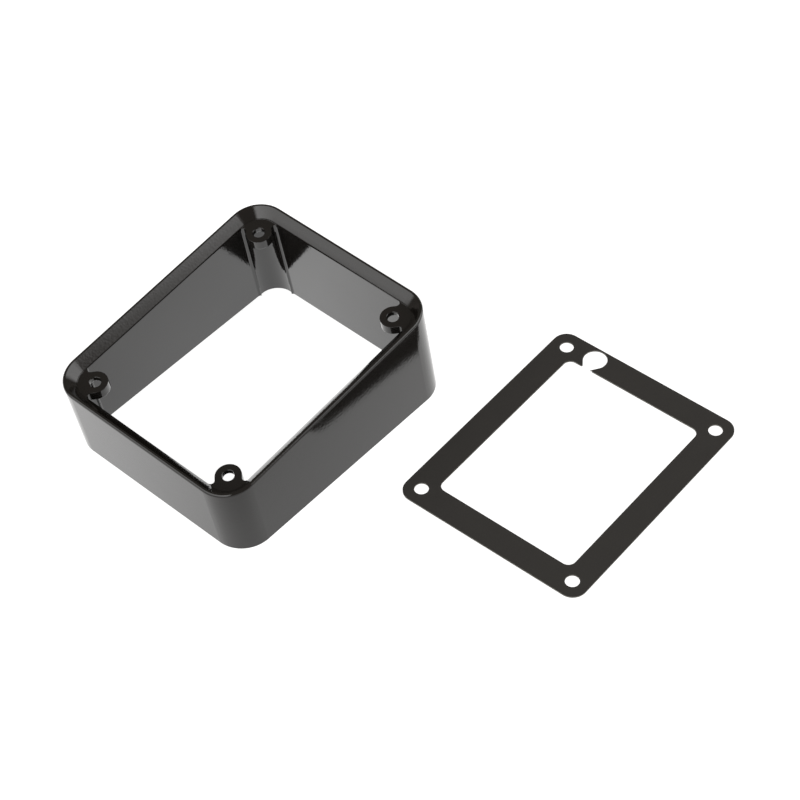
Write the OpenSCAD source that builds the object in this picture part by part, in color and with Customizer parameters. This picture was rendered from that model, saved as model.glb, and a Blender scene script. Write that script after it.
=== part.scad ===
// Privacy shroud for a keypad, with its gasket laid beside it.
// The shroud stands on its slanted front opening, with its screw side up. The origin is the centre
// of that front opening. +X runs towards the tall end, and +Z is up.

/* [Rim] */
// Outer length of the rim, from the low end to the tall end
rim_length = 106.4; // [90:0.2:130]
// Outer width of the rim
rim_width = 88.8; // [76:0.4:110]
// Radius of the rim's four outer corners
corner_radius = 12; // [8:0.5:16]
// Rounding along the rim's outer edge
edge_radius = 1; // [0.5:0.1:1.5]
// Width of the narrow flat land on top of the rim
rim_land = 0.2; // [0.1:0.05:0.6]
// Radius of the bevel's gentle bulge, seen in section
bevel_radius = 24; // [16:1:60]
// Rounding from the bevel into the inner wall
bevel_foot_radius = 1.5; // [0.8:0.1:1.8]

/* [Walls] */
// Wall height along the low end
low_end_height = 32.5; // [22:0.5:40]
// Wall height along the tall end
tall_end_height = 44.5; // [41:0.5:60]
// Wall thickness at the rim
wall_thickness = 4.7; // [4:0.1:6]
// Moulding draft of the outer walls, in degrees
draft_angle = 0.5; // [0.2:0.1:1.2]

/* [Screw tabs] */
// Distance from the end walls' inner faces to the screw holes
hole_to_end_wall = 6.5; // [5.5:0.1:9]
// Distance from the side walls' inner faces to the screw holes
hole_to_side_wall = 6.7; // [5.5:0.1:9]
// Diameter of the screw clearance holes
screw_hole_diameter = 4.3; // [3.2:0.1:5]
// Diameter of the recess for the screw's head, in the tab's lower side
head_recess_diameter = 7.2; // [6:0.1:8.4]
// Thickness of the tab over the recess
seat_thickness = 1.8; // [1:0.1:3]
// Radius of the tab's round end about its hole
tab_radius = 4.7; // [4.5:0.1:6]
// Depth of the tabs' upper faces below the rim
tab_depth = 3.7; // [3:0.1:4.4]
// Height of a tab's side
tab_thickness = 3.8; // [3.4:0.1:6]
// Fillet where the tab's sides run into the walls
tab_fillet = 1.3; // [0.6:0.1:2]
// Width of the chamfer round the hole's upper edge
hole_chamfer = 0.2; // [0.1:0.05:0.5]
// Width of the ribs that carry the fillets on down to the front, along the wall
rib_width = 1.25; // [1.2:0.05:1.6]
// Height of these ribs over the wall
rib_height = 0.55; // [0.3:0.05:0.6]

/* [Gasket] */
// Clearance between the gasket's ends and the end walls
gasket_end_clearance = 0.1; // [0.1:0.1:1]
// Clearance between the gasket's sides and the side walls
gasket_side_clearance = 0.45; // [0.1:0.05:1.6]
// Radius of the gasket's outer corners
gasket_corner_radius = 5.5; // [3:0.5:8]
// Thickness of the sheet
gasket_thickness = 0.6; // [0.4:0.1:1.5]
// Diameter of the gasket's screw holes
gasket_hole_diameter = 5.2; // [4.6:0.1:6]
// Width of the gasket's strip along its ends
gasket_end_strip = 10.4; // [10:0.1:13]
// Width of the gasket's strip along its sides
gasket_side_strip = 10.25; // [9:0.25:13]
// Radius of the window's inner corners
window_corner_radius = 3; // [1:0.5:5]

/* [Gasket notch] */
// Diameter of the round notch in the gasket's tall end
notch_diameter = 9; // [6:0.5:10]
// Distance from the gasket's end to the centre of the notch
notch_to_end = 5.1; // [5:0.1:6]
// Distance from the window's side to the centre of the notch
notch_to_window_side = 8; // [6:0.5:14]
// Width of the throat where it opens into the window, between its sharp corners
throat_width = 3.4; // [2:0.2:5]
// Rounding of the two tips beside the throat
tip_radius = 0.5; // [0.2:0.1:0.7]

/* [Gasket place] */
// Gap between the shroud's side and the middle of the gasket, as they lie on the table
gasket_distance = 57; // [50:0.5:90]
// How far the gasket lies off the shroud's centre, along X
gasket_offset = 52.2; // [0:0.1:80]
// Turn of the gasket on the table, in degrees
gasket_turn = 2.4; // [-5:0.2:5]

/* [Hidden] */
$fn = 96;

// Length by which a cutting body runs past the faces it cuts
past = 1;
// Depth by which a rounding dips into the face it runs out on, so that the two cross cleanly
dip = 0.01;

slant = atan((tall_end_height - low_end_height) / rim_length);
middle_height = (low_end_height + tall_end_height) / 2;

// Clear opening between the inner walls
clear_length = rim_length - 2 * wall_thickness;
clear_width = rim_width - 2 * wall_thickness;
inner_radius = corner_radius - wall_thickness;

// Depth at which the bevel has run out into the inner wall, just below the tabs' faces
bevel_depth = tab_depth + 0.4;

// The screw pattern is shared by the shroud's tabs and the gasket
screw_x = clear_length / 2 - hole_to_end_wall;
screw_y = clear_width / 2 - hole_to_side_wall;

// A point on each diagonal side of the tab in the +X +Y corner, the second with its axes swapped
tab_half_width = tab_radius - dip;
tab_side = [screw_x - tab_half_width / sqrt(2), screw_y + tab_half_width / sqrt(2)];
tab_end = [screw_y - tab_half_width / sqrt(2), screw_x + tab_half_width / sqrt(2)];

gasket_length = clear_length - 2 * gasket_end_clearance;
gasket_width = clear_width - 2 * gasket_side_clearance;
window_length = gasket_length - 2 * gasket_end_strip;
window_width = gasket_width - 2 * gasket_side_strip;

// Rounded rectangle, centred on the origin
module rounded_rectangle(length, width, radius) {
    square([length - 2 * radius, width], center = true);
    square([length, width - 2 * radius], center = true);
    for (x = [-1, 1], y = [-1, 1])
        translate([x * (length / 2 - radius), y * (width / 2 - radius)])
            circle(r = radius);
}

// Section of the wall: x runs inward from the rim's outer outline, and y is the height over the rim.
// The bevel is a flat arc that starts at the land and runs out on the rounding at its foot.
module wall_section() {
    front = -tall_end_height - past;
    corner = [edge_radius, -edge_radius];
    foot = [wall_thickness - bevel_foot_radius + dip, -bevel_depth];
    // The bevel's centre is its radius away from the land's edge, and touches the foot's rounding
    land_edge = [edge_radius + rim_land, 0];
    line = (foot - land_edge) / norm(foot - land_edge);
    foot_reach = bevel_radius - bevel_foot_radius + dip;
    along = (pow(bevel_radius, 2) - pow(foot_reach, 2)) / (2 * norm(foot - land_edge))
        + norm(foot - land_edge) / 2;
    centre = land_edge + along * line
        + sqrt(pow(bevel_radius, 2) - pow(along, 2)) * [line[1], -line[0]];
    touch = foot + (bevel_foot_radius + edge_radius / 4) * (foot - centre) / foot_reach;
    union() {
        polygon([
            [0, -edge_radius],
            corner,
            foot,
            [wall_thickness, -bevel_depth],
            [wall_thickness, front],
            [-front * tan(draft_angle), front]
        ]);
        intersection() {
            translate(corner) circle(r = edge_radius);
            translate([0, -edge_radius]) square(edge_radius);
        }
        intersection() {
            translate(centre) circle(r = bevel_radius);
            polygon([corner, [edge_radius, 0], [wall_thickness, 0], touch, foot]);
        }
        intersection() {
            translate(centre) circle(r = bevel_radius);
            translate(foot) circle(r = bevel_foot_radius);
            polygon([foot, touch, [wall_thickness, touch[1]], [wall_thickness, -bevel_depth]]);
        }
    }
}

// The wall section carried once round the rim: straight along the sides, turned at the corners
module wall() {
    straight_x = rim_length - 2 * corner_radius;
    straight_y = rim_width - 2 * corner_radius;
    for (turn = [0, 180]) {
        rotate(turn) translate([-straight_x / 2, -rim_width / 2, 0])
            rotate([90, 0, 90]) linear_extrude(straight_x) wall_section();
        rotate(turn + 90) translate([-straight_y / 2, -rim_length / 2, 0])
            rotate([90, 0, 90]) linear_extrude(straight_y) wall_section();
    }
    for (x = [-1, 1], y = [-1, 1])
        translate([x * straight_x / 2, y * straight_y / 2, 0])
            rotate(x > 0 ? (y > 0 ? 0 : 270) : (y > 0 ? 90 : 180))
                rotate_extrude(angle = 90)
                    translate([corner_radius, 0]) mirror([1, 0]) wall_section();
}

// Centre of the fillet between a tab's side and a wall, in the angle that the wall's inner face makes
// with the diagonal side. The wall is along X at the given height, and the side runs up to the right
// through the given point.
function fillet_centre(side_point, wall_y) = [
    side_point[0] + wall_y - side_point[1] - (tab_fillet - dip) * (1 + sqrt(2)),
    wall_y - (tab_fillet - dip)
];

// Plan of the flare that such a fillet makes
module flare(side_point, wall_y) {
    centre = fillet_centre(side_point, wall_y);
    difference() {
        polygon([
            centre,
            centre + tab_radius * [1, -1] / sqrt(2),
            [centre[0] + tab_fillet - dip + tab_radius, wall_y + past],
            [centre[0], wall_y + past]
        ]);
        translate(centre) circle(r = tab_fillet);
    }
}

// Plan of the thin rib that carries the start of such a flare on, with a narrow flat crest
module rib(side_point, wall_y) {
    intersection() {
        flare(side_point, wall_y);
        translate([fillet_centre(side_point, wall_y)[0] - past, wall_y - rib_height])
            square([past + rib_width, rib_height + wall_thickness / 2]);
    }
}

// Plan of the screw tab in the +X +Y corner: round about the hole, with straight sides that run
// out diagonally into the corner and flare into both walls
module tab_plan() {
    reach = wall_thickness / 2;
    intersection() {
        rounded_rectangle(clear_length + 2 * reach, clear_width + 2 * reach, inner_radius + reach);
        union() {
            translate([screw_x, screw_y]) {
                circle(r = tab_radius);
                rotate(45) translate([0, -tab_half_width])
                    square([corner_radius * sqrt(2), 2 * tab_half_width]);
            }
            flare(tab_side, clear_width / 2);
            mirror([1, -1]) flare(tab_end, clear_length / 2);
        }
    }
}

// The four tabs, with the ribs that run on below them to the front
module tabs() {
    for (x = [0, 1], y = [0, 1]) mirror([x, 0, 0]) mirror([0, y, 0]) {
        translate([0, 0, -tab_depth - tab_thickness]) linear_extrude(tab_thickness) tab_plan();
        translate([0, 0, -tall_end_height - past])
            linear_extrude(tall_end_height + past - tab_depth - tab_thickness / 2) {
                rib(tab_side, clear_width / 2);
                mirror([1, -1]) rib(tab_end, clear_length / 2);
            }
    }
}

// Clearance hole through one tab, with a chamfer at its upper edge and a recess for the screw's head
module screw_hole() {
    radius = screw_hole_diameter / 2;
    translate([0, 0, -tab_depth - tab_thickness - past])
        cylinder(r = radius, h = tab_thickness + 2 * past);
    translate([0, 0, -tab_depth - hole_chamfer])
        cylinder(r1 = radius, r2 = radius + hole_chamfer + past, h = hole_chamfer + past);
    translate([0, 0, -tab_depth - tab_thickness - past])
        cylinder(r = head_recess_diameter / 2, h = tab_thickness - seat_thickness + past);
}

// Everything below the table, where the slanted front is cut off
module below_front() {
    size = 2 * (rim_length + rim_width);
    translate([-size / 2, -size / 2, -size]) cube([size, size, size]);
}

// Stands the body on its slanted front, with the rim tilted up towards the tall end
module on_slanted_front() {
    rotate([0, -slant, 0]) translate([0, 0, middle_height]) children();
}

module shroud() {
    color("#1c1b1b") difference() {
        on_slanted_front() difference() {
            union() {
                wall();
                tabs();
            }
            for (x = [-1, 1], y = [-1, 1])
                translate([x * screw_x, y * screw_y, 0]) screw_hole();
        }
        below_front();
    }
}

// The round notch, with a throat whose sides run from the circle to the window and meet its edge in
// rounded tips
module notch() {
    radius = notch_diameter / 2;
    centre = [gasket_length / 2 - notch_to_end, window_width / 2 - notch_to_window_side];
    edge = window_length / 2 - centre[0];
    corner = [edge, throat_width / 2];
    touch_angle = atan2(corner[1], corner[0]) - acos(radius / norm(corner));
    touch = (radius - dip) * [cos(touch_angle), sin(touch_angle)];
    // The tip is the sharp angle between the throat's side and the window's edge
    half_tip = (180 - touch_angle) / 2;
    lift = tip_radius - dip;
    tip_middle = corner + lift / sin(half_tip) * [cos(90 - half_tip), sin(90 - half_tip)];
    translate(centre) {
        circle(r = radius);
        for (turn = [0, 1]) mirror([0, turn]) {
            polygon([[0, 0], touch, corner, corner - [past, 0], [edge - past, 0]]);
            difference() {
                polygon([
                    corner - [past, 0],
                    corner,
                    corner + lift / tan(half_tip) * [sin(touch_angle), -cos(touch_angle)],
                    tip_middle,
                    corner + [-past, lift / tan(half_tip)]
                ]);
                translate(tip_middle) circle(r = tip_radius);
            }
        }
    }
}

module gasket_plan() {
    difference() {
        rounded_rectangle(gasket_length, gasket_width, gasket_corner_radius);
        rounded_rectangle(window_length, window_width, window_corner_radius);
        for (x = [-1, 1], y = [-1, 1])
            translate([x * screw_x, y * screw_y]) circle(d = gasket_hole_diameter);
        notch();
    }
}

module gasket() {
    color("#2c2b29")
        translate([gasket_offset, -rim_width / 2 - gasket_distance, 0])
            rotate(gasket_turn)
                linear_extrude(gasket_thickness) gasket_plan();
}

shroud();
gasket();
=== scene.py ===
"""A keypad privacy shroud in gloss black ABS and its matt black gasket, on a white studio table.

The shroud stands on its slanted front, and the gasket lies flat beside it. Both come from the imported
frame, which already holds their true shape. This script adds the finish of each, the table, the
studio light and the camera.
"""
import math

import bpy
from mathutils import Matrix, Vector

# One millimetre, in the metres that the scene is measured in
MM = 0.001

# The camera looks down at the table over the shroud's low end, with a slight roll
CAMERA_TARGET = Vector((34.9, -36.4, 0)) * MM
CAMERA_AZIMUTH = math.radians(44.54)
CAMERA_ELEVATION = math.radians(48.75)
CAMERA_ROLL = math.radians(4.38)
CAMERA_DISTANCE = 865.3 * MM
CAMERA_LENS = 107.6
CAMERA_SENSOR = 36

# The table reaches past the picture on all sides, a hair below the pieces that lie on it
TABLE_SIZE = 6
TABLE_GAP = 0.05 * MM

# The table's own glow as the background shows it. With the light that falls on it, it is white
TABLE_GLOW = 0.9

# Painted light: the table's glow as the gloss sees it rises evenly along one direction, from the first
# distance from the middle to the second, and what is mirrored twice keeps only a part of it, a painted shade
BRIGHT_WAY = (0.41, 0.91, 0)
BRIGHT_FROM = -85 * MM
BRIGHT_TO = 40 * MM
PAINTED_GLOW_IN_GLOSS = (0.44, 1.41)
PAINTED_SHADE_TWICE_MIRRORED = 0.1

# The dim room beside its panels, where white is 1, and its colour, a little warm
ROOM_LIGHT = 0.23
ROOM_COLOUR = "#fff5ea"

# The lit panel before the near long side, and the one beyond the low end. Ends are azimuths from +Y
# towards +X, radiance is given at each end, and the foot and the head are heights, as sines of the
# elevation, between which the panel comes up out of the dark and fades again
FRONT_PANEL = {
    "ends": (math.radians(105), math.radians(158)), "side_edge": math.radians(10),
    "radiance": (2.5, 2.8), "foot": (-0.05, 0.3), "head": (0.72, 0.84),
}
LEFT_PANEL = {
    "ends": (math.radians(-129), math.radians(-40)), "side_edge": math.radians(6),
    "radiance": (3.0, 1.7), "foot": (-0.05, 0.3), "head": (0.76, 0.88),
}


def linear(hex_colour):
    """An sRGB hex colour as the linear colour that the shader takes."""
    channels = [int(hex_colour[i:i + 2], 16) / 255 for i in (1, 3, 5)]
    return [c / 12.92 if c <= 0.04045 else ((c + 0.055) / 1.055) ** 2.4 for c in channels] + [1]


def add(tree, kind, settings=None, inputs=None):
    """Adds a node with its settings, and sets or links its inputs."""
    node = tree.nodes.new(kind)
    for name, value in (settings or {}).items():
        setattr(node, name, value)
    for name, value in (inputs or {}).items():
        if isinstance(value, bpy.types.NodeSocket):
            tree.links.new(value, node.inputs[name])
        else:
            node.inputs[name].default_value = value
    return node


def new_material(name):
    """An empty material, and its node tree with the output still to be linked."""
    material = bpy.data.materials.new(name)
    material.use_nodes = True
    material.node_tree.nodes.clear()
    return material, material.node_tree


def finish_with(node, material):
    """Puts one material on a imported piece."""
    node.data.materials.clear()
    node.data.materials.append(material)


def moulded_abs():
    """Gloss black ABS, moulded in a polished tool: a deep black that mirrors the studio, softened by
    the faint waviness of a moulded wall and by small radii along its edges."""
    material, tree = new_material("moulded_gloss_black_abs")
    place = add(tree, "ShaderNodeTexCoord").outputs["Object"]
    # Sink and flow leave a waviness some 20 mm long, a few hundredths of a millimetre high
    waviness = add(tree, "ShaderNodeTexNoise", None, {
        "Vector": place, "Scale": 1 / (20 * MM), "Detail": 1.0,
    })
    # Orange peel, 0.8 mm across and 0.02 mm high, makes the edges of what the gloss mirrors ragged
    skin = add(tree, "ShaderNodeTexNoise", None, {"Vector": place, "Scale": 1 / (0.8 * MM), "Detail": 2.0})
    edges = add(tree, "ShaderNodeBevel", {"samples": 8}, {"Radius": 0.3 * MM})
    wavy = add(tree, "ShaderNodeBump", None, {
        "Height": waviness.outputs["Fac"], "Distance": 0.04 * MM, "Strength": 1.0,
        "Normal": edges.outputs["Normal"],
    })
    surface = add(tree, "ShaderNodeBump", None, {
        "Height": skin.outputs["Fac"], "Distance": 0.02 * MM, "Strength": 1.0,
        "Normal": wavy.outputs["Normal"],
    })
    roughness = add(tree, "ShaderNodeMapRange", None, {
        "Value": skin.outputs["Fac"], "To Min": 0.07, "To Max": 0.11,
    })
    plastic = add(tree, "ShaderNodeBsdfPrincipled", None, {
        "Base Color": linear("#151311"), "IOR": 1.53,
        "Roughness": roughness.outputs["Result"], "Normal": surface.outputs["Normal"],
    })
    add(tree, "ShaderNodeOutputMaterial", None, {"Surface": plastic.outputs["BSDF"]})
    return material


def cut_rubber_sheet():
    """Thin black rubber sheet, die cut: matt and slightly grainy, with a painted highlight on its cut faces.
    """
    material, tree = new_material("die_cut_matt_black_rubber")
    place = add(tree, "ShaderNodeTexCoord").outputs["Object"]
    # The rolled sheet's grain, about 0.5 mm, and its slow unevenness over 12 mm
    grain = add(tree, "ShaderNodeTexNoise", None, {"Vector": place, "Scale": 1 / (0.5 * MM), "Detail": 3.0})
    clouds = add(tree, "ShaderNodeTexNoise", None, {"Vector": place, "Scale": 1 / (12 * MM), "Detail": 2.0})
    shades = add(tree, "ShaderNodeMix", {"data_type": "RGBA"}, {
        "Factor": clouds.outputs["Fac"], "A": linear("#292725"), "B": linear("#2e2c29"),
    })
    # Painted highlight: faces that stand on edge, the cut faces, are painted paler than the sheet's own skin
    normal = add(tree, "ShaderNodeNewGeometry").outputs["Normal"]
    upward = add(tree, "ShaderNodeSeparateXYZ", None, {"Vector": normal}).outputs["Z"]
    level = add(tree, "ShaderNodeMath", {"operation": "ABSOLUTE"}, {0: upward})
    painted_cut_face_highlight = add(tree, "ShaderNodeMapRange", None, {
        "Value": level.outputs[0], "From Min": 0.3, "From Max": 0.7, "To Min": 1.0, "To Max": 0.0,
    })
    colour = add(tree, "ShaderNodeMix", {"data_type": "RGBA"}, {
        "Factor": painted_cut_face_highlight.outputs["Result"], "A": shades.outputs["Result"], "B": linear("#6a6862"),
    })
    relief = add(tree, "ShaderNodeBump", None, {
        "Height": grain.outputs["Fac"], "Distance": 0.01 * MM, "Strength": 1.0,
    })
    roughness = add(tree, "ShaderNodeMapRange", None, {
        "Value": grain.outputs["Fac"], "To Min": 0.65, "To Max": 0.85,
    })
    rubber = add(tree, "ShaderNodeBsdfPrincipled", None, {
        "Base Color": colour.outputs["Result"], "IOR": 1.5,
        "Roughness": roughness.outputs["Result"], "Normal": relief.outputs["Normal"],
    })
    add(tree, "ShaderNodeOutputMaterial", None, {"Surface": rubber.outputs["BSDF"]})
    return material


def table():
    """White acrylic table. Its glow shows it as plain white, and the light that falls on it keeps the
    shadow under the shroud. What the gloss shows of it is painted brighter towards its far side."""
    material, tree = new_material("white_acrylic_table")
    place = add(tree, "ShaderNodeTexCoord").outputs["Object"]
    # Painted pool of light: the table's glow, as only the gloss sees it, rises evenly along BRIGHT_WAY
    across = add(tree, "ShaderNodeVectorMath", {"operation": "DOT_PRODUCT"}, {0: place, 1: BRIGHT_WAY})
    rise = add(tree, "ShaderNodeMapRange", None, {
        "Value": across.outputs["Value"], "From Min": BRIGHT_FROM, "From Max": BRIGHT_TO,
        "To Min": PAINTED_GLOW_IN_GLOSS[0], "To Max": PAINTED_GLOW_IN_GLOSS[1],
    })
    path = add(tree, "ShaderNodeLightPath").outputs
    mirrored = add(tree, "ShaderNodeMath", {"operation": "MAXIMUM"}, {
        0: path["Is Glossy Ray"], 1: path["Is Transmission Ray"],
    })
    # Painted shade: what the gloss mirrors twice, as between two black walls at right angles, keeps only a
    # part of the table's glow
    painted_twice_mirrored_shade = add(tree, "ShaderNodeMapRange", None, {
        "Value": path["Glossy Depth"], "From Min": 1, "From Max": 2, "To Min": 1.0, "To Max": PAINTED_SHADE_TWICE_MIRRORED,
    })
    graded = add(tree, "ShaderNodeMath", {"operation": "MULTIPLY"}, {
        0: mirrored.outputs[0], 1: rise.outputs["Result"],
    })
    in_gloss = add(tree, "ShaderNodeMath", {"operation": "MULTIPLY"}, {
        0: graded.outputs[0], 1: painted_twice_mirrored_shade.outputs["Result"],
    })
    to_camera = add(tree, "ShaderNodeMath", {"operation": "MULTIPLY"}, {
        0: path["Is Camera Ray"], 1: TABLE_GLOW,
    })
    glow = add(tree, "ShaderNodeMath", {"operation": "ADD"}, {
        0: in_gloss.outputs[0], 1: to_camera.outputs[0],
    })
    white = add(tree, "ShaderNodeEmission", None, {"Color": linear("#ffffff"), "Strength": glow.outputs[0]})
    acrylic = add(tree, "ShaderNodeBsdfDiffuse", None, {"Color": linear("#b4b4b4")})
    both = add(tree, "ShaderNodeAddShader", None, {0: acrylic.outputs["BSDF"], 1: white.outputs["Emission"]})
    add(tree, "ShaderNodeOutputMaterial", None, {"Surface": both.outputs["Shader"]})
    bpy.ops.mesh.primitive_plane_add(size=TABLE_SIZE, location=(0, 0, -TABLE_GAP))
    floor = bpy.context.object
    floor.name = "table"
    floor.data.materials.append(material)


def panel(tree, direction, ends, side_edge, radiance, foot, head):
    """A lit white panel that stands round the table as part of the studio walls, soft on all sides.
    Its radiance, where white is 1, goes evenly from one end to the other."""
    azimuth = (ends[0] + ends[1]) / 2
    half_width = (ends[1] - ends[0]) / 2
    level = add(tree, "ShaderNodeVectorMath", {"operation": "MULTIPLY"}, {0: direction, 1: (1, 1, 0)})
    flat = add(tree, "ShaderNodeVectorMath", {"operation": "NORMALIZE"}, {0: level.outputs["Vector"]})
    facing = add(tree, "ShaderNodeVectorMath", {"operation": "DOT_PRODUCT"}, {
        0: flat.outputs["Vector"], 1: (math.sin(azimuth), math.cos(azimuth), 0),
    })
    beside = add(tree, "ShaderNodeVectorMath", {"operation": "DOT_PRODUCT"}, {
        0: flat.outputs["Vector"], 1: (math.cos(azimuth), -math.sin(azimuth), 0),
    })
    height = add(tree, "ShaderNodeSeparateXYZ", None, {"Vector": direction}).outputs["Z"]
    across = add(tree, "ShaderNodeMapRange", {"interpolation_type": "SMOOTHSTEP"}, {
        "Value": facing.outputs["Value"],
        "From Min": math.cos(half_width + side_edge), "From Max": math.cos(half_width - side_edge),
    })
    along = add(tree, "ShaderNodeMapRange", None, {
        "Value": beside.outputs["Value"],
        "From Min": -math.sin(half_width), "From Max": math.sin(half_width),
        "To Min": radiance[0], "To Max": radiance[1],
    })
    above_foot = add(tree, "ShaderNodeMapRange", {"interpolation_type": "SMOOTHSTEP"}, {
        "Value": height, "From Min": foot[0], "From Max": foot[1],
    })
    below_head = add(tree, "ShaderNodeMapRange", {"interpolation_type": "SMOOTHSTEP"}, {
        "Value": height, "From Min": head[0], "From Max": head[1], "To Min": 1.0, "To Max": 0.0,
    })
    light = along.outputs["Result"]
    for mask in (across, above_foot, below_head):
        light = add(tree, "ShaderNodeMath", {"operation": "MULTIPLY"}, {
            0: light, 1: mask.outputs["Result"],
        }).outputs[0]
    return light


def studio_walls():
    """The room. The camera sees it white, and to the pieces it is a dim room with two lit panels."""
    world = bpy.data.worlds.new("studio")
    bpy.context.scene.world = world
    world.use_nodes = True
    tree = world.node_tree
    tree.nodes.clear()
    direction = add(tree, "ShaderNodeTexCoord").outputs["Generated"]
    front = panel(tree, direction, **FRONT_PANEL)
    left = panel(tree, direction, **LEFT_PANEL)
    panels = add(tree, "ShaderNodeMath", {"operation": "ADD"}, {0: front, 1: left})
    camera_ray = add(tree, "ShaderNodeLightPath").outputs["Is Camera Ray"]
    lit = add(tree, "ShaderNodeMath", {"operation": "MAXIMUM"}, {0: camera_ray, 1: panels.outputs[0]})
    white = add(tree, "ShaderNodeBackground", None, {"Color": linear("#ffffff"), "Strength": lit.outputs[0]})
    warm = add(tree, "ShaderNodeBackground", None, {"Color": linear(ROOM_COLOUR), "Strength": ROOM_LIGHT})
    walls = add(tree, "ShaderNodeAddShader", None, {
        0: white.outputs["Background"], 1: warm.outputs["Background"],
    })
    add(tree, "ShaderNodeOutputWorld", None, {"Surface": walls.outputs["Shader"]})


def camera():
    """The camera, turned by its roll about the line of sight to the target."""
    ahead = Vector((
        math.sin(CAMERA_AZIMUTH) * math.cos(CAMERA_ELEVATION),
        math.cos(CAMERA_AZIMUTH) * math.cos(CAMERA_ELEVATION),
        -math.sin(CAMERA_ELEVATION),
    ))
    level = Vector((math.cos(CAMERA_AZIMUTH), -math.sin(CAMERA_AZIMUTH), 0))
    below = ahead.cross(level)
    right = level * math.cos(CAMERA_ROLL) + below * math.sin(CAMERA_ROLL)
    up = right.cross(ahead)
    data = bpy.data.cameras.new("camera")
    data.lens = CAMERA_LENS
    data.sensor_width = CAMERA_SENSOR
    data.clip_start = 10 * MM
    eye = bpy.data.objects.new("camera", data)
    turn = Matrix((right, up, -ahead)).transposed()
    eye.matrix_world = Matrix.Translation(CAMERA_TARGET - ahead * CAMERA_DISTANCE) @ turn.to_4x4()
    bpy.context.scene.collection.objects.link(eye)
    bpy.context.scene.camera = eye


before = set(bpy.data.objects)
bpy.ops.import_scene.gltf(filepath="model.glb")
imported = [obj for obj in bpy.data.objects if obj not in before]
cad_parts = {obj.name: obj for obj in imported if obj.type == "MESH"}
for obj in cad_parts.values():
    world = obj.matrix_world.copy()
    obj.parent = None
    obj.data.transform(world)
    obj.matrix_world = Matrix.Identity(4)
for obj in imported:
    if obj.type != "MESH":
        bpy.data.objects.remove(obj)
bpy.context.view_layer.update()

bpy.context.scene.view_settings.view_transform = "Standard"

camera()
table()
studio_walls()

finish_with(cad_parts["shroud"], moulded_abs())
finish_with(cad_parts["gasket"], cut_rubber_sheet())
